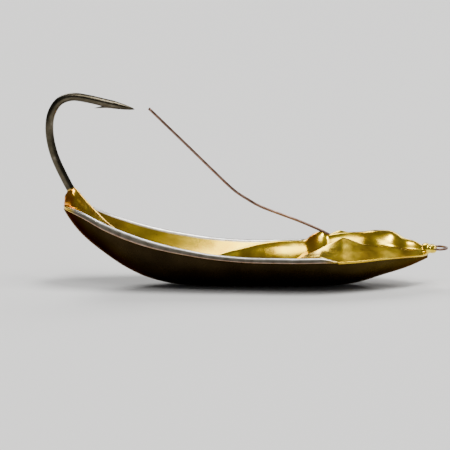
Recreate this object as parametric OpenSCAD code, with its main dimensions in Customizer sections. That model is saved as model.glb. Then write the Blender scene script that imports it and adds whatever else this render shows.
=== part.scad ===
// Weedless spoon lure: a boat-shaped plated blade with a fixed single hook and a spring wire weed guard.
// X runs along the lure with the nose at +X, Z is up, and the keel of the blade rests on z = 0.

/* [Blade] */
// Length of the blade from the tail tip to the nose. The hook, guard and head stretch with it.
blade_length = 75.8; // [70:0.2:82]
// Greatest width of the blade over its rims
blade_width = 23; // [21:0.5:25]
// Thickness of the pressed sheet
sheet = 0.9; // [0.7:0.05:1.1]
// Height of the cut edge that shows round the rim
edge_height = 1; // [0.6:0.1:1.4]

/* [Hook] */
// Diameter of the hook wire
hook_wire = 1.7; // [1.4:0.05:1.75]
// Length of the barb along the wire
barb_length = 2.8; // [1.5:0.1:3.5]

/* [Weed guard] */
// Diameter of the guard's spring wire
guard_wire = 0.58; // [0.4:0.02:0.7]
// Gap between the fixed stub and the wire that flexes
flex_gap = 0.15; // [0.1:0.05:0.3]

/* [Line tie] */
// Diameter of the line tie's wire
tie_wire = 0.5; // [0.4:0.05:0.6]
// Outer width of the loop
tie_width = 4.3; // [3.8:0.1:4.8]

/* [Hidden] */

// Hull lines at the nominal size, one row a station from the tail to the nose:
// distance along the lure, half width, keel height, rim height
nominal_length = 75.8;
nominal_half_width = 11.5;
hull_lines = [
    [-38.2, 5.0, 16.0, 17.0],
    [-36.6, 5.3, 13.4, 17.0],
    [-34.0, 5.9, 10.4, 16.3],
    [-30.0, 7.0, 7.1, 14.4],
    [-25.0, 8.1, 3.7, 12.5],
    [-20.0, 8.9, 1.5, 10.9],
    [-14.0, 9.7, 0.3, 9.5],
    [-6.0, 10.4, 0.0, 8.2],
    [2.0, 10.9, 0.0, 7.7],
    [10.0, 11.5, 0.0, 7.7],
    [16.0, 11.4, 0.1, 7.8],
    [22.0, 9.9, 0.6, 7.8],
    [28.0, 7.5, 2.3, 8.0],
    [33.0, 4.9, 3.8, 7.9],
    [37.6, 2.2, 5.8, 7.6]
];
length_scale = blade_length / nominal_length;
width_scale = blade_width / 2 / nominal_half_width;
tail_x = hull_lines[0][0] * length_scale;
nose_x = hull_lines[len(hull_lines) - 1][0] * length_scale;
// Lengths over which the planform rounds off at its two ends
tail_round = 5;
nose_round = 2.2;
// Cross-section: flat over this share of the half width on the keel, then rising by this power to the rim
keel_flat_share = 0.16;
belly_power = 1.78;
bowl_power = 2.25;
// Rounding along the top of the cut edge
edge_bevel = 0.15;
// Share of the cut edge left bare under the head casting
covered_share = 0.3;
// Where the casting starts and ends climbing over the cut edge
cover_start_x = 15.5;
cover_end_x = 19.5;
// Least depth of the bowl below the cut edge, at its two tips
least_bowl = 0.25;

// Stations along the blade: coarse over the plain bowl and the head's tongue, fine under the ears.
// The spacing in the bowl widens from the tail, where the outline turns fastest.
bowl_stations = 16;
tongue_stations = 11;
ear_stations = 36;
head_start_x = -8;
ears_start_x = 12;
tail_spacing = 1.35;
tail_tip_gap = 0.12;
nose_tip_gap = 0.05;
across = 26;
head_across = 34;

// Head: a centre ridge between two ears. It starts as a tongue along the shank and swells over the hook's eye.
ridge_top = [
    [-8.0, 1.6],
    [-7.2, 4.4],
    [-6.2, 6.3],
    [-5.0, 6.9],
    [-1.6, 7.8],
    [0.5, 8.4],
    [2.6, 8.9],
    [4.7, 9.2],
    [6.8, 9.4],
    [10.0, 9.5],
    [12.3, 9.8],
    [14.0, 10.7],
    [15.6, 11.2],
    [18.0, 10.9],
    [21.0, 11.2],
    [24.0, 11.3],
    [26.5, 11.6],
    [30.0, 11.5],
    [31.7, 10.6],
    [33.0, 9.9],
    [35.0, 9.3],
    [36.7, 8.2],
    [37.6, 7.9]
];
ridge_width = [
    [-8.0, 1.0],
    [-3.0, 1.3],
    [4.0, 1.7],
    [9.0, 1.8],
    [14.0, 1.5],
    [23.0, 1.6],
    [28.5, 2.7],
    [31.0, 2.4],
    [34.0, 1.6],
    [37.6, 1.3]
];
// Half width of the tongue, which reaches the rim where the ears start
tongue_width = [
    [-8.0, 1.6],
    [-4.0, 2.8],
    [0.0, 4.5],
    [4.0, 6.6],
    [8.0, 8.5],
    [12.0, 10.6],
    [14.0, 14.0]
];
ear_peak = [19.2, 4.3, 11];
ear_crest = [
    [12.0, 12.6],
    [17.0, 11.6],
    [19.4, 11.0],
    [21.1, 10.6],
    [22.4, 10.1],
    [23.6, 9.6],
    [25.0, 9.4],
    [28.6, 8.8],
    [31.0, 8.5],
    [34.0, 8.0],
    [37.6, 7.5]
];
ear_offset = [
    [12.0, 4.6],
    [20.0, 4.2],
    [24.0, 4.3],
    [28.0, 4.2],
    [31.0, 3.6],
    [34.0, 2.6],
    [37.6, 1.2]
];
ear_inner_slope = 0.6;
ear_rear_rise = 0.13;
ear_rear_fall = 0.39;
ear_back_rise = 0.67;
crest_softness = 0.9;
valley_softness = 1.2;
least_side_run = 0.3;
ridge_fall = 1.1;
// Level that the metal fills the bowl to: its height at x = 0, its rise towards the nose, its depth
// below the rim, and how much deeper it lies where the casting covers the cut edge
fill_height = 1.6;
fill_rise = 0.32;
fill_depth = 0.5;
fill_sink = 1.6;
// Width over which the relief settles on to the rim
rim_blend = 1.2;
// The casting's least thickness and its gap from the blade
thin_edge = 0.2;
casting_gap = 0.05;

// Hook: its eye lies flat in the casting. The shank spans the bowl and climbs out over the tail.
eye_centre = [28.6, 0, 8.6];
eye_radius = 1.9;
eye_neck = [25.7, 0.1, 8.65];
shank_line = [
    [24.4, 0, 8.7],
    [20.0, 0, 8.7],
    [15.0, 0, 8.5],
    [10.0, 0, 8.2],
    [5.0, 0, 7.8],
    [0.0, 0, 6.9],
    [-5.0, 0, 5.7],
    [-10.0, 0, 5.1],
    [-15.0, 0, 5.2],
    [-20.0, 0, 6.2],
    [-24.8, 0, 8.7],
    [-29.2, 0, 12.1],
    [-33.0, 0, 15.9],
    [-36.2, 0, 19.5],
    [-38.2, 0, 23.2],
    [-39.8, 0, 26.8],
    [-40.7, 0, 30.2],
    [-40.95, 0, 33.2],
    [-40.5, 0, 36.0],
    [-38.9, 0, 38.5],
    [-36.2, 0, 39.5],
    [-33.0, 0, 39.1],
    [-29.6, 0, 38.3],
    [-26.5, 0, 37.6]
];
hook_point = [-23.3, 0, 36.9];
// Shares of the wire's radius from the bend's end to the point
point_taper = [0.95, 0.78, 0.58, 0.36, 0.08];
barb_root = [-29.6, 0, 38.3];
barb_width = 0.5;

// Solder at the tail: it flares round the shank as a collar and follows it down into the bowl as a gusset.
// One row a section: place along the shank (x, z), reach above the shank, reach below it, half width
solder_sections = [
    [-36.62, 20.25, 0.93, 0.93, 0.93],
    [-36.42, 19.9, 1.1, 1.75, 1.3],
    [-36.2, 19.5, 1.12, 2.4, 1.8],
    [-35.7, 18.9, 1.1, 2.95, 2.3],
    [-34.6, 17.7, 1.06, 3.35, 2.8],
    [-33.0, 15.9, 1.02, 3.5, 2.8],
    [-31.0, 13.8, 1.0, 3.55, 2.5],
    [-29.2, 12.1, 1.0, 3.5, 2.15],
    [-26.9, 10.3, 0.98, 3.3, 1.7],
    [-24.8, 8.7, 0.95, 3.1, 1.3],
    [-22.4, 7.2, 0.92, 1.6, 0.95]
];
solder_corners = 20;

// Weed guard: from the stub in the casting, back and up to just inside the hook's point
guard_root = [15.2, 0, 11.6];
guard_line = [
    [11.1, 0, 13.4],
    [6.6, 0, 15.1],
    [2.7, 0, 16.6],
    [-0.1, 0, 18.2],
    [-2.9, 0, 20.1],
    [-6.9, 0, 23.9],
    [-12.6, 0, 29.5]
];
guard_tip = [-20.4, 0, 37.1];
stub_line = [
    [16.2, 0, 11.1],
    [17.6, 0, 10.4],
    [19.4, 0, 10.15],
    [21.4, 0, 10.25]
];

// Line tie: a flat loop whose two legs are cast into the nose
tie_height = 7.85;
tie_front_x = 41.8;
tie_leg_spread = 0.9;
tie_leg_stations = [32, 34.6, 37.2];

// Nose collar: a soldered bead over the legs where they leave the nose.
// One row a station: distance along the lure, half width, half height
collar_drop = 0.15;
collar_line = [
    [36.5, 1.3, 1.1],
    [37.3, 1.7, 1.25],
    [38.0, 1.45, 0.85],
    [38.5, 1.75, 0.95],
    [39.0, 1.85, 0.85],
    [39.4, 1.5, 0.5]
];

gold = [0.72, 0.55, 0.16];
amber = [0.75, 0.42, 0.08];
bronzed_steel = [0.2, 0.18, 0.14];
bronzed_wire = [0.42, 0.3, 0.24];

// --- Curves -------------------------------------------------------------------------------------

function slope_at(rows, i, column) =
    (rows[i + 1][column] - rows[i][column]) / (rows[i + 1][0] - rows[i][0]);

// Tangents that never overshoot the rows
function tangent_at(rows, i, column) =
    i == 0 ? slope_at(rows, 0, column)
    : i == len(rows) - 1 ? slope_at(rows, i - 1, column)
    : let (before = slope_at(rows, i - 1, column), after = slope_at(rows, i, column))
        before * after <= 0 ? 0 : 2 * before * after / (before + after);

function row_before(rows, x, i = 0) =
    i >= len(rows) - 2 || x < rows[i + 1][0] ? i : row_before(rows, x, i + 1);

// Smooth value of a column at x, held level past the first and last rows
function curve(rows, x, column = 1) =
    let (
        i = row_before(rows, x),
        width = rows[i + 1][0] - rows[i][0],
        u = min(1, max(0, (x - rows[i][0]) / width)),
        start = tangent_at(rows, i, column) * width,
        end = tangent_at(rows, i + 1, column) * width
    )
    rows[i][column] * (1 + 2 * u) * pow(1 - u, 2)
    + start * u * pow(1 - u, 2)
    + rows[i + 1][column] * u * u * (3 - 2 * u)
    - end * u * u * (1 - u);

function smooth_step(x, low, high) =
    let (u = min(1, max(0, (x - low) / (high - low))))
    u * u * (3 - 2 * u);

function soft_min(a, b, softness) =
    let (h = max(softness - abs(a - b), 0) / softness)
    min(a, b) - h * h * softness / 4;

function soft_max(a, b, softness) = -soft_min(-a, -b, softness);

function unit(v) = v / norm(v);

function reversed(list) = [for (i = [len(list) - 1 : -1 : 0]) list[i]];

// Places given at the nominal size, stretched along the lure to the blade's length
function stretched(points) = [for (p = points) [p.x * length_scale, p.y, p.z]];

// Points of a smooth curve through every given point, with steps between each two
function through(points, steps) =
    let (last = len(points) - 1)
    [
        for (i = [0 : last - 1])
            for (step = [0 : steps - 1])
                let (
                    u = step / steps,
                    p1 = points[i],
                    p2 = points[i + 1],
                    p0 = i == 0 ? 2 * p1 - p2 : points[i - 1],
                    p3 = i == last - 1 ? 2 * p2 - p1 : points[i + 2]
                )
                0.5 * (2 * p1 + (p2 - p0) * u + (2 * p0 - 5 * p1 + 4 * p2 - p3) * u * u
                    + (3 * p1 - p0 - 3 * p2 + p3) * u * u * u),
        points[last]
    ];

// --- Solids from rings --------------------------------------------------------------------------

// Closed solid through rings of equal length, each one counter-clockwise about the way it travels
module loft(rings) {
    count = len(rings[0]);
    last = len(rings) - 1;
    sides = [
        for (i = [0 : last - 1])
            for (j = [0 : count - 1])
                let (k = (j + 1) % count, a = i * count, b = (i + 1) * count)
                each [[a + j, b + j, b + k], [a + j, b + k, a + k]]
    ];
    polyhedron(
        points = [for (ring = rings) each ring],
        faces = concat(
            [[for (j = [0 : count - 1]) j]],
            sides,
            [[for (j = [count - 1 : -1 : 0]) last * count + j]]
        )
    );
}

// A direction square to the path, carried along it without twisting
function carried(tangents, side, i = 0) =
    i == len(tangents) ? []
    : let (square = unit(side - (side * tangents[i]) * tangents[i]))
        concat([square], carried(tangents, square, i + 1));

// Round wire along a path. side is a direction square to the path's start.
module wire(path, radii, side, sides) {
    last = len(path) - 1;
    tangents = [for (i = [0 : last]) unit(path[min(i + 1, last)] - path[max(i - 1, 0)])];
    normals = carried(tangents, side);
    loft([
        for (i = [0 : last])
            let (n = normals[i], m = cross(tangents[i], n))
            [for (a = [0 : 360 / sides : 359]) path[i] + radii[i] * (n * cos(a) + m * sin(a))]
    ]);
}

// --- Blade --------------------------------------------------------------------------------------

function hull(x, column) = curve(hull_lines, x / length_scale, column);

function keel_z(x) = hull(x, 2);

function rim_z(x) = hull(x, 3);

function edge_band(x) = min(edge_height, 0.6 * (rim_z(x) - keel_z(x)));

// How far the casting has climbed over the cut edge: 0 in the bowl, 1 towards the nose
function cover(x) = smooth_step(x / length_scale, cover_start_x, cover_end_x);

// Top of the blade's own edge, which is lower where the casting covers it
function edge_top(x) = rim_z(x) - cover(x) * (1 - covered_share) * edge_band(x);

function rounded_end(distance, reach) =
    sqrt(max(0, 1 - pow(1 - min(1, max(0, distance / reach)), 2)));

// Half width of the outline, taken in from the ends and the sides by inset
function half_width(x, inset) =
    (hull(x, 1) * width_scale - inset)
    * rounded_end(x - tail_x - inset, tail_round)
    * rounded_end(nose_x - inset - x, nose_round);

stations = bowl_stations + tongue_stations + ear_stations;

// Place of a station along the lure, for an outline taken in by inset
function station(i, inset) =
    let (
        first = tail_x + inset + tail_tip_gap,
        last = nose_x - inset - nose_tip_gap,
        head = head_start_x * length_scale,
        ears = ears_start_x * length_scale,
        past_bowl = i - bowl_stations,
        past_tongue = past_bowl - tongue_stations
    )
    past_bowl <= 0 ? first + (head - first) * pow(i / bowl_stations, tail_spacing)
    : past_tongue <= 0 ? head + (ears - head) * past_bowl / tongue_stations
    : ears + (last - ears) * sin(90 * past_tongue / ear_stations);

// Shares of the half width, from one side to the other
function columns(count) = [for (j = [0 : count]) 2 * j / count - 1];

function outer_z(x, share) =
    let (rise = max(0, (abs(share) - keel_flat_share) / (1 - keel_flat_share)))
    keel_z(x) + (rim_z(x) - edge_band(x) - keel_z(x)) * pow(rise, belly_power);

function inner_z(x, share) =
    let (
        run = 0.5,
        steepness = (keel_z(x + run) - keel_z(x - run)) / (2 * run),
        keel = min(keel_z(x) + sheet * sqrt(1 + steepness * steepness), edge_top(x) - least_bowl)
    )
    keel + (edge_top(x) - keel) * pow(min(1, abs(share)), bowl_power);

// One closed section: along the belly, up the cut edge, back through the bowl, down the other edge
function blade_ring(i) =
    let (
        x = station(i, 0),
        inner_x = station(i, sheet),
        w = half_width(x, 0),
        inner_w = half_width(inner_x, sheet),
        top = edge_top(x),
        bevel = min(edge_bevel, w / 4)
    )
    concat(
        [for (t = columns(across)) [x, t * w, outer_z(x, t)]],
        [[x, w, top - edge_bevel], [x, w - bevel, top]],
        [for (t = reversed(columns(across))) [inner_x, t * inner_w, inner_z(inner_x, t)]],
        [[x, -w + bevel, top], [x, -w, top - edge_bevel]]
    );

module blade() {
    color(gold)
        loft([for (i = [0 : stations]) blade_ring(i)]);
}

// --- Head casting -------------------------------------------------------------------------------

function ridge_z(x, y) = curve(ridge_top, x) - ridge_fall * pow(y / curve(ridge_width, x), 2);

// Each ear is cut by four faces: behind, outside down to the foot at the edge, and two towards the middle
function ear_z(x, y, edge, foot) =
    let (
        out = abs(y),
        crest = curve(ear_crest, x),
        offset = curve(ear_offset, x),
        behind = ear_peak.z + ear_rear_rise * (x - ear_peak.x) - ear_rear_fall * (out - ear_peak.y),
        outside = crest - (crest - foot) * (out - offset) / max(least_side_run, edge - offset),
        inside = crest + ear_inner_slope * (out - offset),
        inside_back = ear_peak.z + ear_back_rise * (x - ear_peak.x) + ear_inner_slope * (out - ear_peak.y)
    )
    soft_min(
        soft_min(behind, outside, crest_softness),
        soft_min(inside, inside_back, crest_softness),
        crest_softness
    );

// The casting widens from its tongue to the inside of the rim, then moves out over the cut edge
function head_half_width(x) =
    min(curve(tongue_width, x / length_scale), half_width(x, sheet))
    + cover(x) * (half_width(x, 0) - half_width(x, sheet));

function bed_z(x, y) = inner_z(x, y / half_width(x, sheet)) + casting_gap;

function head_z(x, y) =
    let (
        nominal_x = x / length_scale,
        edge = head_half_width(x),
        foot = bed_z(x, edge) + thin_edge,
        filled = min(rim_z(x) - fill_depth, fill_height + fill_rise * nominal_x),
        fill = filled - fill_sink * cover(x),
        ears = ear_z(nominal_x, y, edge, foot),
        relief = soft_max(soft_max(ridge_z(nominal_x, y), ears, valley_softness), fill, valley_softness),
        settled = foot + (relief - foot) * smooth_step(edge - abs(y), 0, rim_blend)
    )
    max(bed_z(x, y) + thin_edge, min(relief, settled));

function head_ring(i) =
    let (x = station(i, sheet), edge = head_half_width(x))
    concat(
        [for (t = columns(head_across)) [x, t * edge, bed_z(x, t * edge)]],
        [for (t = reversed(columns(head_across))) [x, t * edge, head_z(x, t * edge)]]
    );

module head_casting() {
    color(gold)
        loft([for (i = [bowl_stations : stations]) head_ring(i)]);
}

// --- Hook ---------------------------------------------------------------------------------------

// A sliver cut up from the wire's inside, its free tip towards the bend
module barb() {
    root = stretched([barb_root])[0];
    along = stretched([hook_point])[0] - root;
    r = hook_wire / 2;
    translate(root)
        rotate([90, -atan2(along.z, along.x), 0])
            translate([0, 0, -barb_width / 2])
                linear_extrude(barb_width)
                    polygon([
                        [barb_length, -0.4 * r],
                        [0, -1.44 * r],
                        [0.1 * barb_length, -r],
                        [0.35 * barb_length, -0.4 * r]
                    ]);
}

module hook() {
    eye = [for (a = [250 : 25 : 500]) eye_centre + eye_radius * [cos(a), sin(a), 0]];
    line = stretched(concat(eye, [eye_neck], shank_line));
    bend_end = line[len(line) - 1];
    bent = through(line, 2);
    tapered = through([bend_end, stretched([hook_point])[0]], len(point_taper));
    path = concat(bent, [for (i = [1 : len(point_taper)]) tapered[i]]);
    shares = concat([for (p = bent) 1], point_taper);
    color(bronzed_steel) {
        wire(path, shares * hook_wire / 2, [0, 0, 1], 10);
        barb();
    }
}

// --- Tail solder --------------------------------------------------------------------------------

// One section square to the shank: round over the wire, widening towards the blade
function solder_ring(row, ahead) =
    let (
        along = unit([ahead.x * length_scale, 0, ahead.y]),
        up = cross(along, [0, 1, 0]),
        above = row[2],
        below = row[3],
        widest = row[4]
    )
    [
        for (a = [0 : 360 / solder_corners : 359])
            let (
                reach = (cos(a) > 0 ? above : below) * cos(a),
                width = above + (widest - above) * (1 - cos(a)) / 2
            )
            [row.x * length_scale, 0, row.y] + up * reach + [0, -width * sin(a), 0]
    ];

module tail_solder() {
    rows = through(solder_sections, 2);
    last = len(rows) - 1;
    color(amber)
        loft([for (i = [0 : last]) solder_ring(rows[i], rows[min(i + 1, last)] - rows[max(i - 1, 0)])]);
}

// --- Weed guard ---------------------------------------------------------------------------------

module round_wire(points, diameter, steps, side) {
    path = through(points, steps);
    color(bronzed_wire)
        wire(path, [for (p = path) diameter / 2], side, 8);
}

module weed_guard() {
    line = stretched(concat([guard_root], guard_line, [guard_tip]));
    start = line[0] + flex_gap * unit(line[1] - line[0]);
    round_wire([start, for (i = [1 : len(line) - 1]) line[i]], guard_wire, 3, [0, 1, 0]);
}

module guard_stub() {
    round_wire(stretched(concat([guard_root], stub_line)), guard_wire, 3, [0, 1, 0]);
}

// --- Line tie and nose collar -------------------------------------------------------------------

module line_tie() {
    r = (tie_width - tie_wire) / 2;
    centre_x = tie_front_x - tie_wire / 2 - r;
    leg = [for (x = tie_leg_stations) [x, tie_leg_spread, tie_height]];
    loop = [for (a = [-90 : 15 : 90]) [centre_x + r * cos(a), r * sin(a), tie_height]];
    points = concat([for (p = leg) [p.x, -p.y, p.z]], loop, reversed(leg));
    moved = nose_x - hull_lines[len(hull_lines) - 1][0];
    translate([moved, 0, 0])
        round_wire(points, tie_wire, 2, [0, 0, 1]);
}

module nose_collar() {
    first = collar_line[0][0];
    last = collar_line[len(collar_line) - 1][0];
    steps = 2 * (len(collar_line) - 1);
    moved = nose_x - hull_lines[len(hull_lines) - 1][0];
    color(gold)
        translate([moved, 0, tie_height - collar_drop])
            loft([
                for (i = [0 : steps])
                    let (
                        x = first + i * (last - first) / steps,
                        half_width = curve(collar_line, x, 1),
                        half_height = curve(collar_line, x, 2)
                    )
                    [for (a = [0 : 22.5 : 359]) [x, half_width * cos(a), half_height * sin(a)]]
            ]);
}

blade();
head_casting();
hook();
tail_solder();
weed_guard();
guard_stub();
line_tie();
nose_collar();
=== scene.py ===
"""Weedless spoon lure: a gold-plated, boat-shaped blade with a fixed hook and a spring wire weed guard.

Lengths in this script are millimetres in the frame's own axes, X to the nose and Z up, and each
mesh is scaled to metres as it is made.
"""

import math

import bmesh
import bpy
import numpy as np
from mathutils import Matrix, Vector


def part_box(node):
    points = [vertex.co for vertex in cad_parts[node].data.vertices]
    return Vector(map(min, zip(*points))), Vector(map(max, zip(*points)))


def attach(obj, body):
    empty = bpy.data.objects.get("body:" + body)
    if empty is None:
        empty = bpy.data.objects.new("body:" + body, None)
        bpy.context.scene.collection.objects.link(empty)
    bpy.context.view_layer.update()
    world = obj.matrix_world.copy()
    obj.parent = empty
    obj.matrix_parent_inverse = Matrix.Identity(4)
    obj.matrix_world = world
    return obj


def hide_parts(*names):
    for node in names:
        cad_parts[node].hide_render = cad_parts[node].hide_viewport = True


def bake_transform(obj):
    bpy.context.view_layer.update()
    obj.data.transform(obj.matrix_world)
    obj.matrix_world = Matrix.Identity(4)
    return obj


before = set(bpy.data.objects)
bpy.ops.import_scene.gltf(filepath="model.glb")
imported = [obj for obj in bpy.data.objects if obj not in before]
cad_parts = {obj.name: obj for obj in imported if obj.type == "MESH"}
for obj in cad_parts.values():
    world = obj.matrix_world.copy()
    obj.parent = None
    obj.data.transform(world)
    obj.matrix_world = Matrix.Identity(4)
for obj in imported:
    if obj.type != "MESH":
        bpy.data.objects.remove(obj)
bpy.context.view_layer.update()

MM = 0.001


def far_corner(node):
    """The corner of a node's box with the largest coordinates."""
    return np.array(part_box(node)[1]) / MM


blade_high = far_corner("blade")
tie_high = far_corner("line_tie")


# --- Curves and lofts ---------------------------------------------------------------------------


def curve(rows, x, column=1):
    """Smooth value of a column of rows at x that never overshoots, held level past the ends."""
    rows = np.asarray(rows, float)
    x = np.asarray(x, float)
    stations, values = rows[:, 0], rows[:, column]
    slopes = np.diff(values) / np.diff(stations)
    before, after = slopes[:-1], slopes[1:]
    total = np.where(before * after > 0, before + after, 1)
    middle = np.where(before * after > 0, 2 * before * after / total, 0)
    tangents = np.concatenate([slopes[:1], middle, slopes[-1:]])
    i = np.clip(np.searchsorted(stations, x, side="right") - 1, 0, len(stations) - 2)
    width = stations[i + 1] - stations[i]
    u = np.clip((x - stations[i]) / width, 0, 1)
    return (
        values[i] * (1 + 2 * u) * (1 - u) ** 2
        + tangents[i] * width * u * (1 - u) ** 2
        + values[i + 1] * u * u * (3 - 2 * u)
        - tangents[i + 1] * width * u * u * (1 - u)
    )


LINE_STEP = 0.05
BLUR_REACH = 3  # how many blur widths the weights reach to each side


class Line:
    """A column of rows as a smooth function of x, with its corners blurred by a width in mm."""

    def __init__(self, rows, column, blur):
        reach = int(BLUR_REACH * blur / LINE_STEP)
        first, last = rows[0][0], rows[-1][0]
        self.x = np.linspace(first, last, int((last - first) / LINE_STEP) + 1)
        padded = np.pad(curve(rows, self.x, column), reach, mode="reflect", reflect_type="odd")
        weights = np.exp(-0.5 * (np.arange(-reach, reach + 1) * LINE_STEP / blur) ** 2)
        self.values = np.convolve(padded, weights / weights.sum(), mode="valid")

    def __call__(self, x):
        return np.interp(x, self.x, self.values)


def blurred(path, steps):
    """A path with its uneven bends evened out, its two ends kept."""
    kernel = np.hanning(2 * steps + 3)[1:-1]
    padded = np.pad(path, ((steps, steps), (0, 0)), mode="reflect", reflect_type="odd")
    columns = [np.convolve(padded[:, i], kernel / kernel.sum(), mode="valid") for i in range(3)]
    return np.stack(columns, -1)


def smooth_step(x, low, high):
    """0 below low, 1 above high, and an S-curve between."""
    u = np.clip((x - low) / (high - low), 0, 1)
    return u * u * (3 - 2 * u)


def soft_min(a, b, softness):
    """The smaller of two heights, rounded off where they come within softness of each other."""
    h = np.maximum(softness - np.abs(a - b), 0) / softness
    return np.minimum(a, b) - h * h * softness / 4


def soft_max(a, b, softness):
    return -soft_min(-a, -b, softness)


def bump(distance, reach):
    """1 at no distance, falling smoothly to nothing at about twice the reach."""
    return np.exp(-((distance / reach) ** 2))


def through(points, steps):
    """Points of a smooth curve through every given point."""
    points = np.asarray(points, float)
    ends = np.vstack([2 * points[0] - points[1], points, 2 * points[-1] - points[-2]])
    u = (np.arange(steps) / steps)[:, None]
    pieces = []
    for i in range(len(points) - 1):
        p0, p1, p2, p3 = ends[i : i + 4]
        pieces.append(
            0.5
            * (
                2 * p1
                + (p2 - p0) * u
                + (2 * p0 - 5 * p1 + 4 * p2 - p3) * u**2
                + (3 * p1 - p0 - 3 * p2 + p3) * u**3
            )
        )
    return np.vstack([*pieces, points[-1:]])


def unit(v):
    return v / np.linalg.norm(v, axis=-1, keepdims=True)


def wire_rings(path, radii, side, sides):
    """Rings of a round wire along a path, carried along it with no twist."""
    path = np.asarray(path, float)
    tangents = unit(np.gradient(path, axis=0))
    around = np.linspace(0, 2 * math.pi, sides, endpoint=False)[:, None]
    n = np.asarray(side, float)
    rings = []
    for point, tangent, radius in zip(path, tangents, np.broadcast_to(radii, len(path)), strict=True):
        n = unit(n - (n @ tangent) * tangent)
        m = np.cross(tangent, n)
        rings.append(point + radius * (np.cos(around) * n + np.sin(around) * m))
    return np.array(rings)


def loft(name, rings, materials, attributes=None):
    """A smooth capped solid through rings of equal length, with one value a point for each attribute."""
    rings = np.asarray(rings, float)
    count, size = rings.shape[:2]
    i, j = np.meshgrid(np.arange(count - 1), np.arange(size), indexing="ij")
    k = (j + 1) % size
    quads = np.stack([i * size + j, i * size + k, (i + 1) * size + k, (i + 1) * size + j], -1)
    faces = quads.reshape(-1, 4).tolist()
    faces.append(list(range(size))[::-1])
    faces.append(list(range((count - 1) * size, count * size)))
    mesh = bpy.data.meshes.new(name)
    mesh.from_pydata((rings.reshape(-1, 3) * MM).tolist(), [], faces)
    for label, values in (attributes or {}).items():
        layer = mesh.attributes.new(label, "FLOAT", "POINT")
        layer.data.foreach_set("value", np.asarray(values, np.float32).ravel())
    solid = bmesh.new()
    solid.from_mesh(mesh)
    bmesh.ops.recalc_face_normals(solid, faces=solid.faces)
    solid.to_mesh(mesh)
    solid.free()
    mesh.polygons.foreach_set("use_smooth", [True] * len(mesh.polygons))
    piece = bpy.data.objects.new(name, mesh)
    bpy.context.scene.collection.objects.link(piece)
    for material in materials:
        mesh.materials.append(material)
    return piece


# --- Materials ----------------------------------------------------------------------------------

TARNISH = (0.13, 0.06, 0.015)


def opaque(value):
    """A colour, or a grey given as one number, with the full alpha that colour sockets expect."""
    return (*value, 1) if isinstance(value, tuple) else (value, value, value, 1)


class Shader:
    """A node material with short calls for the nodes that the lure's metals share."""

    def __init__(self, name, **settings):
        self.material = bpy.data.materials.new(name)
        self.material.use_nodes = True
        self.tree = self.material.node_tree
        self.surface = self.tree.nodes["Principled BSDF"]
        self.place = self.tree.nodes.new("ShaderNodeTexCoord").outputs["Object"]
        for label, value in settings.items():
            self.surface.inputs[label.replace("_", " ")].default_value = value

    def link(self, source, target):
        self.tree.links.new(source, target)

    def noise(self, size_mm, detail, roughness=0.55, stretch=(1, 1, 1)):
        spread = self.tree.nodes.new("ShaderNodeMapping")
        spread.inputs["Scale"].default_value = stretch
        self.link(self.place, spread.inputs["Vector"])
        node = self.tree.nodes.new("ShaderNodeTexNoise")
        node.inputs["Scale"].default_value = 1 / (size_mm * MM)
        node.inputs["Detail"].default_value = detail
        node.inputs["Roughness"].default_value = roughness
        self.link(spread.outputs["Vector"], node.inputs["Vector"])
        return node.outputs["Fac"]

    def attribute(self, name):
        node = self.tree.nodes.new("ShaderNodeAttribute")
        node.attribute_name = name
        return node.outputs["Fac"]

    def ramp(self, factor, *stops):
        """Maps a factor to colours or grey values: stops are (place, value) pairs."""
        node = self.tree.nodes.new("ShaderNodeValToRGB")
        points = node.color_ramp.elements
        while len(points) < len(stops):
            points.new(1.0)
        for point, (where, value) in zip(points, stops, strict=True):
            point.position = where
            point.color = opaque(value)
        self.link(factor, node.inputs["Fac"])
        return node.outputs["Color"]

    def mix(self, factor, a, b):
        """Colour a where the factor is 0 and b where it is 1. The factor is a socket."""
        node = self.tree.nodes.new("ShaderNodeMix")
        node.data_type = "RGBA"
        enabled = {socket.name: socket for socket in node.inputs if socket.enabled}
        self.link(factor, enabled["Factor"])
        for label, value in (("A", a), ("B", b)):
            if isinstance(value, bpy.types.NodeSocket):
                self.link(value, enabled[label])
            else:
                enabled[label].default_value = opaque(value)
        return next(socket for socket in node.outputs if socket.enabled)

    def along_x(self, reach_mm):
        """Distance along the lure from its middle, as a share of the reach."""
        split = self.tree.nodes.new("ShaderNodeSeparateXYZ")
        self.link(self.place, split.inputs["Vector"])
        node = self.tree.nodes.new("ShaderNodeMath")
        node.operation = "DIVIDE"
        self.link(split.outputs["X"], node.inputs[0])
        node.inputs[1].default_value = reach_mm * MM
        return node.outputs["Value"]

    def relief(self, height, depth_mm, strength):
        """Adds a bump on top of those that are there."""
        node = self.tree.nodes.new("ShaderNodeBump")
        node.inputs["Distance"].default_value = depth_mm * MM
        node.inputs["Strength"].default_value = strength
        self.link(height, node.inputs["Height"])
        last = self.surface.inputs["Normal"]
        if last.is_linked:
            self.link(last.links[0].from_socket, node.inputs["Normal"])
        self.link(node.outputs["Normal"], last)

    def colour(self, source):
        self.link(source, self.surface.inputs["Base Color"])

    def rough(self, source):
        self.link(source, self.surface.inputs["Roughness"])


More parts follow.
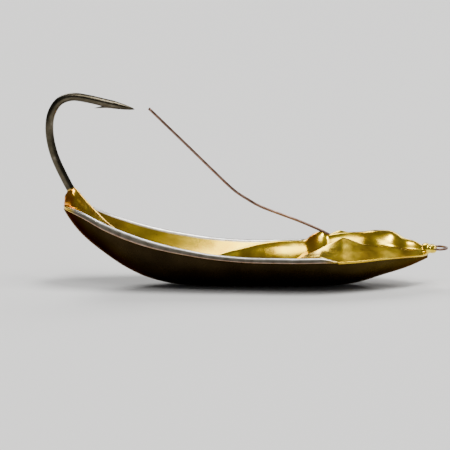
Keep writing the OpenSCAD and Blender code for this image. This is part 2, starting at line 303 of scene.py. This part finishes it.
def plated_gold():
    """Polished plate browned in patches, with a worn cut edge.

    The edge is silver on top, partly a painted highlight on the bare metal, dark below, partly painted
    shade, and coppery on the lip.
    """
    shader = Shader("plated_gold", Metallic=1.0)
    gold = shader.ramp(
        shader.noise(8, detail=4),
        (0.32, (0.58, 0.32, 0.015)),
        (0.52, (0.85, 0.55, 0.03)),
        (0.72, (0.93, 0.68, 0.05)),
    )
    specks = shader.ramp(shader.noise(0.7, detail=2, roughness=0.6), (0.69, 0.0), (0.74, 0.7))
    bowl = shader.mix(specks, gold, TARNISH)
    wear = shader.noise(1.4, detail=5)
    silver = shader.ramp(wear, (0.3, (0.55, 0.52, 0.46)), (0.6, (0.88, 0.87, 0.84)))
    side = shader.ramp(wear, (0.3, (0.15, 0.13, 0.095)), (0.7, (0.27, 0.245, 0.19)))
    copper = shader.ramp(wear, (0.3, (0.30, 0.18, 0.13)), (0.7, (0.50, 0.36, 0.29)))
    # Painted highlight and shade on the bare edge: lighter at its top and darker down its side face, by the
    # height down the edge.
    down = shader.attribute("down")
    banded = shader.mix(shader.ramp(down, (0.16, 0.0), (0.34, 1.0)), silver, side)
    banded = shader.mix(shader.ramp(down, (0.72, 0.0), (0.86, 1.0)), banded, copper)
    edge = shader.attribute("cut_edge")
    shader.colour(shader.mix(edge, bowl, banded))
    smears = shader.ramp(shader.noise(4, detail=5, stretch=(0.35, 1, 1)), (0.3, 0.13), (0.75, 0.26))
    shader.rough(shader.mix(edge, smears, 0.36))
    shader.relief(shader.noise(6, detail=1), 0.10, 0.4)
    shader.relief(shader.noise(0.4, detail=3), 0.003, 0.5)
    return shader.material


def painted_shade_belly():
    """The outside of the blade, its plate painted dark brown as shade and dark reflection, least so under
    the nose.
    """
    # Painted shade: the dark base colour and the dull specular tint stand in for the shade and dark
    # surroundings that the belly reflects.
    shader = Shader("painted_shade_belly", Metallic=1.0, Specular_Tint=(0.45, 0.36, 0.25, 1))
    patches = shader.noise(9, detail=5)
    brown = shader.ramp(patches, (0.3, (0.012, 0.008, 0.004)), (0.7, (0.032, 0.021, 0.009)))
    olive = shader.ramp(patches, (0.3, (0.040, 0.028, 0.010)), (0.7, (0.100, 0.072, 0.026)))
    towards_nose = shader.ramp(shader.along_x(45), (0.25, 0.0), (0.8, 1.0))
    shader.colour(shader.mix(towards_nose, brown, olive))
    shader.rough(shader.ramp(shader.noise(3, detail=6), (0.3, 0.22), (0.75, 0.36)))
    shader.relief(shader.noise(0.5, detail=3), 0.003, 0.5)
    return shader.material


def cast_gold():
    """Plate over a soft casting: brighter and wavier than the blade, with amber patches."""
    shader = Shader("cast_gold", Metallic=1.0)
    gold = shader.ramp(
        shader.noise(4.5, detail=4),
        (0.32, (0.63, 0.37, 0.02)),
        (0.52, (0.86, 0.57, 0.035)),
        (0.74, (0.94, 0.71, 0.06)),
    )
    specks = shader.ramp(shader.noise(0.55, detail=2, roughness=0.6), (0.70, 0.0), (0.75, 0.75))
    specked = shader.mix(specks, gold, TARNISH)
    shader.colour(shader.mix(shader.attribute("amber"), specked, (0.72, 0.30, 0.02)))
    shader.rough(shader.ramp(shader.noise(2.5, detail=5), (0.3, 0.15), (0.75, 0.27)))
    shader.relief(shader.noise(3.2, detail=1), 0.10, 0.4)
    shader.relief(shader.noise(0.35, detail=3), 0.003, 0.5)
    return shader.material


def amber_solder():
    """Plate over solder, gold along the shank and amber in the collar."""
    shader = Shader("amber_solder", Metallic=1.0)
    patches = shader.noise(1.8, detail=4)
    amber = shader.ramp(patches, (0.35, (0.55, 0.15, 0.008)), (0.65, (0.80, 0.33, 0.02)))
    gold = shader.ramp(patches, (0.35, (0.72, 0.36, 0.02)), (0.65, (0.95, 0.62, 0.05)))
    shader.colour(shader.mix(shader.attribute("amber"), gold, amber))
    shader.rough(shader.ramp(shader.noise(1.2, detail=5), (0.3, 0.12), (0.75, 0.30)))
    shader.relief(shader.noise(1.3, detail=3), 0.05, 0.6)
    return shader.material


def hook_steel():
    """Bronzed steel, rubbed to grey in places, plated gold where it lies in the bowl."""
    shader = Shader("hook_steel", Metallic=1.0)
    stains = shader.noise(2.2, detail=4)
    bronze = shader.ramp(
        stains,
        (0.35, (0.045, 0.038, 0.024)),
        (0.6, (0.085, 0.072, 0.048)),
        (0.8, (0.17, 0.15, 0.12)),
    )
    plated = shader.ramp(stains, (0.3, (0.40, 0.24, 0.05)), (0.7, (0.78, 0.52, 0.12)))
    shader.colour(shader.mix(shader.attribute("plated"), bronze, plated))
    shader.rough(shader.ramp(shader.noise(0.9, detail=4), (0.3, 0.18), (0.75, 0.34)))
    shader.relief(shader.noise(0.4, detail=3), 0.005, 0.6)
    return shader.material


def bronzed_wire(name, dark, light):
    """Dull brown spring wire, stained between a dark and a light brown."""
    shader = Shader(name, Metallic=1.0)
    stains = shader.noise(1.3, detail=6)
    shader.colour(shader.ramp(stains, (0.3, dark), (0.7, light)))
    shader.rough(shader.ramp(shader.noise(0.6, detail=5), (0.3, 0.26), (0.75, 0.48)))
    shader.relief(shader.noise(0.2, detail=4), 0.006, 0.7)
    return shader.material


# --- Blade --------------------------------------------------------------------------------------

# Hull lines, one row a station from the tail to the nose:
# distance along the lure, half width, keel height, rim height, height of the cut edge
HULL = [
    (-38.2, 5.0, 16.0, 17.0, 0.5),
    (-36.6, 5.3, 13.4, 17.0, 0.9),
    (-34.0, 5.9, 10.4, 16.3, 1.15),
    (-30.0, 7.0, 7.1, 14.4, 1.4),
    (-25.0, 8.1, 3.7, 12.5, 1.5),
    (-20.0, 8.9, 1.5, 10.9, 1.4),
    (-14.0, 9.7, 0.3, 9.5, 1.15),
    (-6.0, 10.4, 0.0, 8.2, 1.0),
    (2.0, 10.9, 0.0, 7.7, 1.0),
    (10.0, 11.5, 0.0, 7.7, 1.0),
    (16.0, 11.4, 0.1, 7.8, 1.0),
    (22.0, 9.9, 0.6, 7.8, 1.0),
    (28.0, 7.5, 2.3, 8.0, 0.95),
    (33.0, 4.9, 3.8, 7.9, 0.9),
    (37.6, 2.2, 5.8, 7.6, 0.8),
]
HULL_BLUR = 0.9
SHEET = 0.9
TAIL_ROUND = 5.0
NOSE_ROUND = 2.2
BELLY_POWER = 2.2
LEAST_BOWL = 0.25
EDGE_ROUND = 0.26
LIP = 0.06
# How far the bowl falls below its curve just inside the cut edge
RIM_DROP = 0.3
# Where the head casting starts and ends climbing over the cut edge, and how deep it buries it
COVER = (14.6, 19.0)
COVER_DEPTH = 0.85
# Where the plate gives way to a bare edge in front of the solder
BARE_EDGE = (-37.4, -35.2)
BLADE_STATIONS = 260
BLADE_ACROSS = 84
# The first and last sections stop this far short of the outline's two ends, where it closes to a point
TAIL_GAP = 0.03
NOSE_GAP = 0.02
tail_x, nose_x = HULL[0][0], HULL[-1][0]
width_scale = blade_high[1] / max(row[1] for row in HULL)
hull_width, keel_z, rim_z, edge_height = (Line(HULL, column, HULL_BLUR) for column in (1, 2, 3, 4))


def rounded_end(distance, reach):
    """Share of the full width at a distance from an end that is rounded over the reach."""
    return np.sqrt(np.maximum(0, 1 - (1 - np.clip(distance / reach, 0, 1)) ** 2))


def half_width(x, inset=0.0):
    """Half width of the blade's outline, or of the outline drawn in by an inset all round."""
    sides = hull_width(x) * width_scale - inset
    return sides * rounded_end(x - tail_x - inset, TAIL_ROUND) * rounded_end(nose_x - inset - x, NOSE_ROUND)


def cover(x):
    """How far the casting has climbed over the cut edge: 0 in the bowl, 1 towards the nose."""
    return smooth_step(x, *COVER)


def edge_top(x):
    return rim_z(x) - COVER_DEPTH * cover(x) * edge_height(x)


def outer_z(x, share):
    """Height of the belly at a share of the half width."""
    return keel_z(x) + (rim_z(x) - edge_height(x) - keel_z(x)) * np.abs(share) ** BELLY_POWER


def inner_z(x, share):
    """Height of the bowl, one sheet's thickness in from the belly at the keel."""
    run = 0.5
    steepness = (keel_z(x + run) - keel_z(x - run)) / (2 * run)
    keel = np.minimum(keel_z(x) + SHEET * np.sqrt(1 + steepness**2), edge_top(x) - LEAST_BOWL)
    return keel + (edge_top(x) - keel) * np.minimum(1, np.abs(share)) ** BELLY_POWER


def blade_stations(inset):
    """Stations packed towards both ends, where the outline turns fastest."""
    along = (1 - np.cos(np.linspace(0, math.pi, BLADE_STATIONS))) / 2
    first, last = tail_x + inset + TAIL_GAP, nose_x - inset - NOSE_GAP
    return first + (last - first) * along


def edge_section(half, low, top, lip_depth, inner_half):
    """The cut edge in section, as (y, z): a pressed lip, a rubbed corner and a shoulder to the bowl."""
    tall = top - low
    lip_foot = (half + lip_depth * 0.7, low + 0.03)
    lip = [lip_foot, (half + lip_depth, low + 0.12 * tall), (half, low + 0.24 * tall)]
    round_off = min(EDGE_ROUND, half / 5, tall / 2)
    centre_y, centre_z = half - round_off, top - round_off
    turn = np.radians(np.linspace(0, 90, 5))
    corner = [(centre_y + round_off * math.cos(a), centre_z + round_off * math.sin(a)) for a in turn]
    back = max(inner_half, half - SHEET)
    shoulder = [(back + 0.25 * (half - back), top - 0.03), (back + 0.03, top - 0.14)]
    return lip + corner + shoulder


def make_blade(gold, belly):
    """One closed skin of belly, cut edge and bowl.

    The attribute cut_edge is 1 on bare metal, and down is 0 at the top of the edge and 1 at its foot.
    """
    share = np.linspace(-1, 1, BLADE_ACROSS)
    share_back = share[::-1]
    least_fall, bowl_side = 0.3, 0.985
    rings, cut_edge, down = [], [], []
    for outer_x, inner_x in zip(blade_stations(0), blade_stations(SHEET), strict=True):
        half, inner_half = half_width(outer_x), half_width(inner_x, SHEET)
        low, top = rim_z(outer_x) - edge_height(outer_x), edge_top(outer_x)
        side = edge_section(half, low, top, LIP * (1 - cover(outer_x)), inner_half)
        bowl_z = inner_z(inner_x, share_back) - RIM_DROP * np.abs(share_back) ** 8
        outer = np.stack([np.full(BLADE_ACROSS, outer_x), share * half, outer_z(outer_x, share)], -1)
        inner = np.stack([np.full(BLADE_ACROSS, inner_x), share_back * inner_half, bowl_z], -1)
        right = np.array([(outer_x, y, z) for y, z in side])
        left = right[::-1] * (1, -1, 1)
        rings.append(np.vstack([outer, right, inner, left]))
        bare = smooth_step(outer_x, *BARE_EDGE) * (1 - cover(outer_x))
        falls = [min(1.0, (top - z) / max(least_fall, top - low)) for _, z in side]
        bare_side = [bare] * len(side)
        bare_bowl = bare * (np.abs(share) > bowl_side)
        cut_edge.append([0] * BLADE_ACROSS + bare_side + list(bare_bowl) + bare_side)
        down.append([1] * BLADE_ACROSS + falls + [0] * BLADE_ACROSS + falls[::-1])
    skin = loft("blade_skin", rings, [gold, belly], {"cut_edge": cut_edge, "down": down})
    size = len(rings[0])
    for polygon in skin.data.polygons:
        if all(v % size < BLADE_ACROSS for v in polygon.vertices):
            polygon.material_index = 1
    return skin


# --- Head ---------------------------------------------------------------------------------------

# Top of the centre ridge: it starts as a tongue along the shank and swells over the hook's eye
RIDGE_TOP = [
    (-8.6, 0.6),
    (-7.6, 3.4),
    (-6.6, 5.9),
    (-5.0, 6.9),
    (-1.6, 7.8),
    (0.5, 8.4),
    (2.6, 8.9),
    (4.7, 9.25),
    (6.8, 9.45),
    (10.0, 9.5),
    (12.0, 9.5),
    (13.4, 9.8),
    (15.6, 10.4),
    (18.0, 10.9),
    (21.0, 11.2),
    (24.0, 11.3),
    (26.5, 11.65),
    (29.6, 11.6),
    (31.3, 10.9),
    (32.7, 9.95),
    (34.8, 9.4),
    (36.7, 8.3),
    (37.6, 7.9),
]
# Distance from the middle at which the ridge has fallen by RIDGE_FALL
RIDGE_WIDTH = [
    (-8.6, 1.0),
    (-3.0, 1.3),
    (4.0, 1.7),
    (9.0, 1.8),
    (14.0, 1.6),
    (20.0, 1.5),
    (24.0, 1.7),
    (28.5, 2.3),
    (31.0, 2.1),
    (34.0, 1.7),
    (37.6, 1.3),
]
# Half width of the tongue, which the bowl's own width takes over where it is the smaller
TONGUE_WIDTH = [(-8.6, 1.5), (-4.0, 2.9), (0.0, 4.7), (4.0, 6.8), (8.0, 8.8), (12.0, 10.8), (14.0, 14.0)]
RIDGE_FALL = 1.1
# Ears: the peak's place, then the crest's height and its distance from the middle along the lure
EAR_PEAK = (19.2, 4.3, 11.0)
EAR_CREST = [
    (8.0, 6.9),
    (11.5, 8.0),
    (15.4, 9.5),
    (18.4, 10.75),
    (19.2, 11.0),
    (20.2, 10.85),
    (22.4, 10.1),
    (23.6, 9.65),
    (25.0, 9.4),
    (28.6, 8.95),
    (31.0, 8.6),
    (34.0, 8.0),
    (37.6, 7.4),
]
EAR_OFFSET = [
    (8.0, 5.6),
    (12.0, 5.0),
    (19.2, 4.2),
    (24.0, 4.3),
    (28.0, 4.2),
    (31.0, 3.6),
    (34.0, 2.6),
    (37.6, 1.2),
]
EAR_INNER_SLOPE = 0.6
EAR_BACK_RISE = 0.67
CREST_SOFTNESS = 0.5
VALLEY_SOFTNESS = 0.9
RIM_BLEND = 1.3
# Metal between the ridge and the ears: its height at X 0, its climb per millimetre towards the nose,
# how far it stays below the rim and how far it sinks where the casting covers the cut edge
FILL_HEIGHT = 1.6
FILL_CLIMB = 0.32
FILL_BELOW_RIM = 0.5
FILL_SINK = 1.6
# Boss over the guard's root: its place, its top and its radius
KNOB = (15.3, 11.35, 1.45)
KNOB_FALL = 1.1
KNOB_REAR_SLOPE = 0.6
KNOB_SOFTNESS = 0.6
# Amber on the boss: where it fades in, where it fades out, and how far it reaches to each side
AMBER_IN = (11.4, 13.0)
AMBER_OUT = (13.8, 15.4)
AMBER_REACH = 2.8
# The casting's skin laps past the cut edge and stands a little off the bowl. Its foot is a small gap
# above the bowl, or below the cut edge, and turns in and down so that its underside stays hidden
LAP = 0.05
STAND_OFF = 0.015
FOOT_GAP = 0.02
TURN_IN = 0.25
TURN_DOWN = 0.35
LEAST_EAR_FACE = 0.3
HEAD_START = RIDGE_TOP[0][0]
HEAD_ACROSS = 170
# The tongue's tip and its body are two runs of stations, and the rest bunch towards the nose
TIP_LENGTH = 2.0
BODY_END = 11.0
# The last number of each line is the blur of its corners
ridge_top = Line(RIDGE_TOP, 1, 0.45)
ridge_width = Line(RIDGE_WIDTH, 1, 0.8)
tongue_width = Line(TONGUE_WIDTH, 1, 0.5)
ear_crest = Line(EAR_CREST, 1, 0.25)
ear_offset = Line(EAR_OFFSET, 1, 0.6)


def ear_z(x, y, edge, foot):
    """Each ear falls outside its crest to the casting's foot, and inside it in two faces to the middle."""
    out = np.abs(y)
    px, py, pz = EAR_PEAK
    crest, offset = ear_crest(x), ear_offset(x)
    outside = crest - (crest - foot) * (out - offset) / max(LEAST_EAR_FACE, edge - offset)
    inside = crest + EAR_INNER_SLOPE * (out - offset)
    inside_back = pz + EAR_BACK_RISE * (x - px) + EAR_INNER_SLOPE * (out - py)
    return soft_min(outside, soft_min(inside, inside_back, CREST_SOFTNESS), CREST_SOFTNESS)


def knob_z(x, y):
    """A round boss that falls more gently towards the tail."""
    behind = KNOB_REAR_SLOPE if x < KNOB[0] else 1
    reach = np.hypot((x - KNOB[0]) * behind, y) / KNOB[2]
    return KNOB[1] - KNOB_FALL * reach**2


def head_relief(x, y, edge, foot):
    """Height of the casting: the highest of the ridge, the ears, the fill between them and the boss."""
    ridge = ridge_top(x) - RIDGE_FALL * (y / ridge_width(x)) ** 2
    fill = min(rim_z(x) - FILL_BELOW_RIM, FILL_HEIGHT + FILL_CLIMB * x) - FILL_SINK * cover(x)
    relief = soft_max(soft_max(ridge, ear_z(x, y, edge, foot), VALLEY_SOFTNESS), fill, VALLEY_SOFTNESS)
    return soft_max(relief, knob_z(x, y), KNOB_SOFTNESS)


def head_stations():
    """Stations along the lure, closest together at the tongue's tip and at the nose."""
    body_start, last = HEAD_START + TIP_LENGTH, nose_x - 0.05
    tip = HEAD_START + TIP_LENGTH * np.linspace(0, 1, 30, endpoint=False) ** 1.4
    body = np.linspace(body_start, BODY_END, 70, endpoint=False)
    front = BODY_END + (last - BODY_END) * np.sin(np.linspace(0, math.pi / 2, 170))
    return np.concatenate([tip, body, front])


def make_head(material):
    """The casting's skin: a tongue in the bowl that widens to the rim and then closes over the cut edge."""
    even = np.linspace(-1, 1, HEAD_ACROSS)
    share = 0.6 * even + 0.4 * np.sin(even * math.pi / 2)
    rings, amber = [], []
    for x in head_stations():
        blend = cover(x)
        bowl_edge = half_width(min(x, nose_x - SHEET - 0.03), SHEET)
        edge = min(tongue_width(x), bowl_edge) + blend * (half_width(x) + LAP - bowl_edge)
        y = share * edge
        bed = inner_z(x, y / bowl_edge)
        low = rim_z(x) - edge_height(x) - FOOT_GAP
        foot = bed[-1] + FOOT_GAP + blend * (low - bed[-1])
        relief = head_relief(x, y, edge, foot)
        settled = foot + (relief - foot) * smooth_step(edge - np.abs(y), 0, RIM_BLEND)
        z = np.minimum(relief, settled) * (1 - blend) + relief * blend
        z = np.maximum(z, bed * (1 - blend) + np.minimum(bed, foot) * blend + STAND_OFF)
        z[0] = z[-1] = min(z[0], foot)
        top = np.stack([np.full(HEAD_ACROSS, x), y, z], -1)
        tucked, under_z = max(edge - TURN_IN, 0.05), foot - TURN_DOWN
        under = np.array([(x, -tucked, under_z), (x, tucked, under_z)])
        rings.append(np.vstack([top, under[::-1]]))
        glow = smooth_step(x, *AMBER_IN) * (1 - smooth_step(x, *AMBER_OUT)) * bump(y, AMBER_REACH)
        amber.append(np.concatenate([glow, [0, 0]]))
    return loft("head_skin", rings, [material], {"amber": amber})


# --- Hook ---------------------------------------------------------------------------------------

HOOK_WIRE = 1.7
HOOK_SIDES = 28
# Middle of the wire from the casting along the shank, round the bend and out towards the point
HOOK_PATH = [
    (24.4, 0, 8.7),
    (20.0, 0, 8.7),
    (15.0, 0, 8.5),
    (10.0, 0, 8.2),
    (5.0, 0, 7.8),
    (0.0, 0, 6.9),
    (-5.0, 0, 5.7),
    (-10.0, 0, 5.1),
    (-15.0, 0, 5.2),
    (-20.0, 0, 6.2),
    (-24.8, 0, 8.7),
    (-29.2, 0, 12.1),
    (-33.0, 0, 15.9),
    (-36.2, 0, 19.5),
    (-38.2, 0, 23.2),
    (-39.8, 0, 26.8),
    (-40.7, 0, 30.2),
    (-40.95, 0, 33.2),
    (-40.5, 0, 36.0),
    (-38.9, 0, 38.5),
    (-36.2, 0, 39.5),
    (-33.0, 0, 39.1),
    (-29.6, 0, 38.3),
    (-26.5, 0, 37.6),
]
HOOK_POINT = (-23.3, 0, 36.9)
POINT_LENGTH = 4.4
POINT_TAPER = 0.6
# The plate ends where the wire leaves the solder: its height there and its distance along the lure
PLATE_TOP = 20.5
PLATE_END = -37.5
# Barb: its root, its free tip, how far it bows out between them and the radius of its root
BARB_ROOT = (-27.2, 0, 37.45)
BARB_TIP = (-31.6, 0, 37.15)
BARB_BOW = 0.12
BARB_RADIUS = 0.42


def make_hook(material):
    """The wire, tapered to its point, with the attribute plated at 1 where it lies in the bowl."""
    path = blurred(through([*HOOK_PATH, HOOK_POINT], 14), 6)
    left = np.linalg.norm(path - path[-1], axis=1)
    last_fifth = np.arange(len(path)) > len(path) * 0.8
    taper = np.where(last_fifth, np.clip(left / POINT_LENGTH, 0, 1) ** POINT_TAPER, 1)
    rings = wire_rings(path, np.maximum(taper, 0.02) * HOOK_WIRE / 2, (0, 1, 0), HOOK_SIDES)
    in_bowl = (path[:, 2] < PLATE_TOP) & (path[:, 0] > PLATE_END)
    plated = np.repeat(in_bowl.astype(float), HOOK_SIDES)
    return loft("hook_wire", rings, [material], {"plated": plated})


def make_barb(material):
    """A sliver cut up from the inside of the wire, its free tip towards the bend."""
    root, tip = np.array(BARB_ROOT), np.array(BARB_TIP)
    path = through([root, (root + tip) / 2 + (0, 0, BARB_BOW), tip], 10)
    share = np.linspace(0, 1, len(path))
    rings = wire_rings(path, BARB_RADIUS * (1 - share) ** 0.8 + 0.02, (0, 1, 0), 16)
    return loft("hook_barb", rings, [material], {"plated": np.zeros(rings.shape[:2])})


# --- Tail solder --------------------------------------------------------------------------------

# Sections square to the shank: place (x, z), reach above it, reach below it, half width
SOLDER = [
    (-36.62, 20.25, 0.84, 0.84, 0.84),
    (-36.5, 20.0, 0.95, 1.25, 1.05),
    (-36.3, 19.65, 1.05, 2.1, 1.6),
    (-35.9, 19.15, 1.1, 2.85, 2.2),
    (-35.3, 18.4, 1.1, 3.3, 2.7),
    (-34.5, 17.5, 1.08, 3.45, 3.2),
    (-33.0, 15.9, 1.02, 3.6, 3.5),
    (-31.0, 13.8, 1.0, 3.8, 3.5),
    (-29.2, 12.1, 0.98, 3.8, 3.0),
    (-26.9, 10.3, 0.96, 3.4, 1.7),
    (-24.8, 8.7, 0.93, 3.1, 1.3),
    (-22.4, 7.2, 0.88, 1.6, 0.95),
    (-21.6, 6.85, 0.84, 0.86, 0.84),
]
# How far behind the lure's middle the fillet starts and ends turning from gold to amber
SOLDER_AMBER = (35.2, 36.7)


def make_solder(material):
    """A fillet that is round over the shank and spreads below it to the bowl."""
    rows = through(SOLDER, 10)
    along = unit(np.gradient(rows[:, :2], axis=0))
    around = np.radians(np.arange(0, 360, 6))
    rings, amber = [], []
    for (x, z, above, below, width), (ax, az) in zip(rows, along, strict=True):
        up = np.array([-az, 0, ax])
        reach = np.where(np.cos(around) > 0, above, below) * np.cos(around)
        wide = above + (width - above) * ((1 - np.cos(around)) / 2) ** 1.3
        ring = np.array([x, 0, z]) + reach[:, None] * up
        ring[:, 1] = wide * np.sin(around)
        rings.append(ring)
        amber.append(smooth_step(-ring[:, 0], *SOLDER_AMBER))
    return loft("solder_fillet", rings, [material], {"amber": amber})


# --- Weed guard ---------------------------------------------------------------------------------

GUARD_WIRE = 0.58
GUARD_SIDES = 16
# Middle of the wire: its foot in the casting, then the bend where it leaves, then the long free run
STUB = [(21.4, 0, 10.25), (19.4, 0, 10.15), (17.6, 0, 10.4), (16.2, 0, 11.1)]
GUARD_ROOT = (15.2, 0, 11.6)
GUARD = [
    (11.1, 0, 13.4),
    (6.6, 0, 15.1),
    (2.7, 0, 16.6),
    (-0.1, 0, 18.2),
    (-2.9, 0, 20.1),
    (-6.9, 0, 23.9),
    (-12.6, 0, 29.5),
    (-20.4, 0, 37.1),
]


def make_guard(material):
    path = blurred(through([*STUB, GUARD_ROOT, *GUARD], 16), 5)
    rings = wire_rings(path, GUARD_WIRE / 2, (0, 1, 0), GUARD_SIDES)
    return loft("guard_wire", rings, [material])


# --- Line tie and nose collar -------------------------------------------------------------------

TIE_WIRE = 0.5
TIE_WIDTH = 4.3
TIE_HEIGHT = 7.85
# Half of the loop's legs inside the casting, as (x, y)
TIE_LEGS = [(32.0, 0.9), (34.6, 0.9), (37.2, 0.9)]
# Bead over the legs: distance along the lure, half width, half height
COLLAR = [
    (36.2, 0.9, 0.7),
    (36.8, 1.45, 1.15),
    (37.4, 1.7, 1.25),
    (38.0, 1.45, 0.9),
    (38.45, 1.7, 0.95),
    (38.95, 1.8, 0.85),
    (39.35, 1.3, 0.5),
    (39.5, 0.6, 0.2),
]
COLLAR_BLUR = 0.12
COLLAR_DROP = 0.15
COLLAR_STATIONS = 56


def make_line_tie(material):
    radius = (TIE_WIDTH - TIE_WIRE) / 2
    centre_x = tie_high[0] - TIE_WIRE / 2 - radius
    turn = np.radians(np.arange(-90, 91, 15))
    arc = [(centre_x + radius * math.cos(a), radius * math.sin(a)) for a in turn]
    outline = [(x, -y) for x, y in TIE_LEGS] + arc + TIE_LEGS[::-1]
    path = through([(x, y, TIE_HEIGHT) for x, y in outline], 6)
    return loft("tie_loop", wire_rings(path, TIE_WIRE / 2, (0, 0, 1), 16), [material])


def make_collar(material):
    width, height = Line(COLLAR, 1, COLLAR_BLUR), Line(COLLAR, 2, COLLAR_BLUR)
    around = np.radians(np.arange(0, 360, 9))
    rings = []
    for x in np.linspace(COLLAR[0][0], COLLAR[-1][0], COLLAR_STATIONS):
        y = width(x) * np.cos(around)
        z = TIE_HEIGHT - COLLAR_DROP + height(x) * np.sin(around)
        rings.append(np.stack([np.full(len(around), x), y, z], -1))
    no_amber = np.zeros((COLLAR_STATIONS, len(around)))
    return loft("collar_bead", rings, [material], {"amber": no_amber})


# --- Stage --------------------------------------------------------------------------------------


# Lights: name, (width, height), place and power in watts. Each one faces the frame's origin
LIGHTS = [
    ("overhead", (900, 500), (600, -250, 1750), 34.0),
    ("front", (600, 650), (80, -980, 1600), 10.0),
    ("back left", (1000, 1000), (-540, 1420, 1430), 27.0),
    ("back right", (1500, 400), (900, 1700, 900), 12.0),
]
WORLD_COLOUR = (0.60, 0.62, 0.66, 1)
WORLD_STRENGTH = 0.22
# Camera: what it looks at, its distance, its elevation in degrees and the width that it sees there
CAMERA_AIM = (-4.7, 0.0, 12.7)
CAMERA_DISTANCE = 440.0
CAMERA_ELEVATION = 10.0
VIEW_WIDTH = 93.6
SENSOR = 36.0


def make_floor():
    shader = Shader("pale_floor", Roughness=0.9, Base_Color=(0.8, 0.79, 0.77, 1))
    bpy.ops.mesh.primitive_plane_add(size=8)
    floor = bpy.context.object
    floor.name = "floor"
    floor.data.materials.append(shader.material)


def facing(v):
    """The rotation that turns a lamp or a camera to look along v."""
    return Vector(v).to_track_quat("-Z", "Y").to_euler()


def add_light(name, size, place, power):
    light = bpy.data.lights.new(name, "AREA")
    light.shape = "RECTANGLE"
    light.size, light.size_y = size[0] * MM, size[1] * MM
    light.energy = power
    lamp = bpy.data.objects.new(name, light)
    bpy.context.scene.collection.objects.link(lamp)
    lamp.location = np.array(place) * MM
    lamp.rotation_euler = facing(-np.array(place) * MM)


def make_camera():
    camera = bpy.data.cameras.new("camera")
    camera.sensor_width = SENSOR
    camera.lens = SENSOR * CAMERA_DISTANCE / VIEW_WIDTH
    camera.clip_start = 0.01
    eye = bpy.data.objects.new("camera", camera)
    bpy.context.scene.collection.objects.link(eye)
    lift = math.radians(CAMERA_ELEVATION)
    aim = np.array(CAMERA_AIM)
    place = aim + CAMERA_DISTANCE * np.array([0, -math.cos(lift), math.sin(lift)])
    eye.location = place * MM
    eye.rotation_euler = facing((aim - place) * MM)
    bpy.context.scene.camera = eye


def make_world():
    world = bpy.data.worlds.new("studio")
    bpy.context.scene.world = world
    world.use_nodes = True
    background = world.node_tree.nodes["Background"]
    background.inputs["Color"].default_value = WORLD_COLOUR
    background.inputs["Strength"].default_value = WORLD_STRENGTH


make_camera()
make_world()
make_floor()
for light_row in LIGHTS:
    add_light(*light_row)

casting = cast_gold()
steel = hook_steel()
tie_metal = bronzed_wire("tie_metal", (0.10, 0.055, 0.04), (0.30, 0.19, 0.145))
guard_metal = bronzed_wire("guard_metal", (0.12, 0.065, 0.045), (0.34, 0.22, 0.165))
# Each piece that rides on the lure, with a slot name that nothing reads and the nodes that it replaces
pieces = [
    (make_blade(plated_gold(), painted_shade_belly()), "gold_plate", ["blade"]),
    (make_head(casting), "gold_casting", ["head_casting"]),
    (make_hook(steel), "hook_steel", ["hook"]),
    (make_barb(steel), "hook_steel", []),
    (make_solder(amber_solder()), "amber_solder", ["tail_solder"]),
    (make_line_tie(tie_metal), "tie_wire", ["line_tie"]),
    (make_collar(casting), "gold_casting", ["nose_collar"]),
]
for piece, slot, nodes in pieces:
    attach(piece, "lure")
    if nodes:
        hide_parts(*nodes)

guard = make_guard(guard_metal)
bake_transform(guard)
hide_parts("weed_guard", "guard_stub")
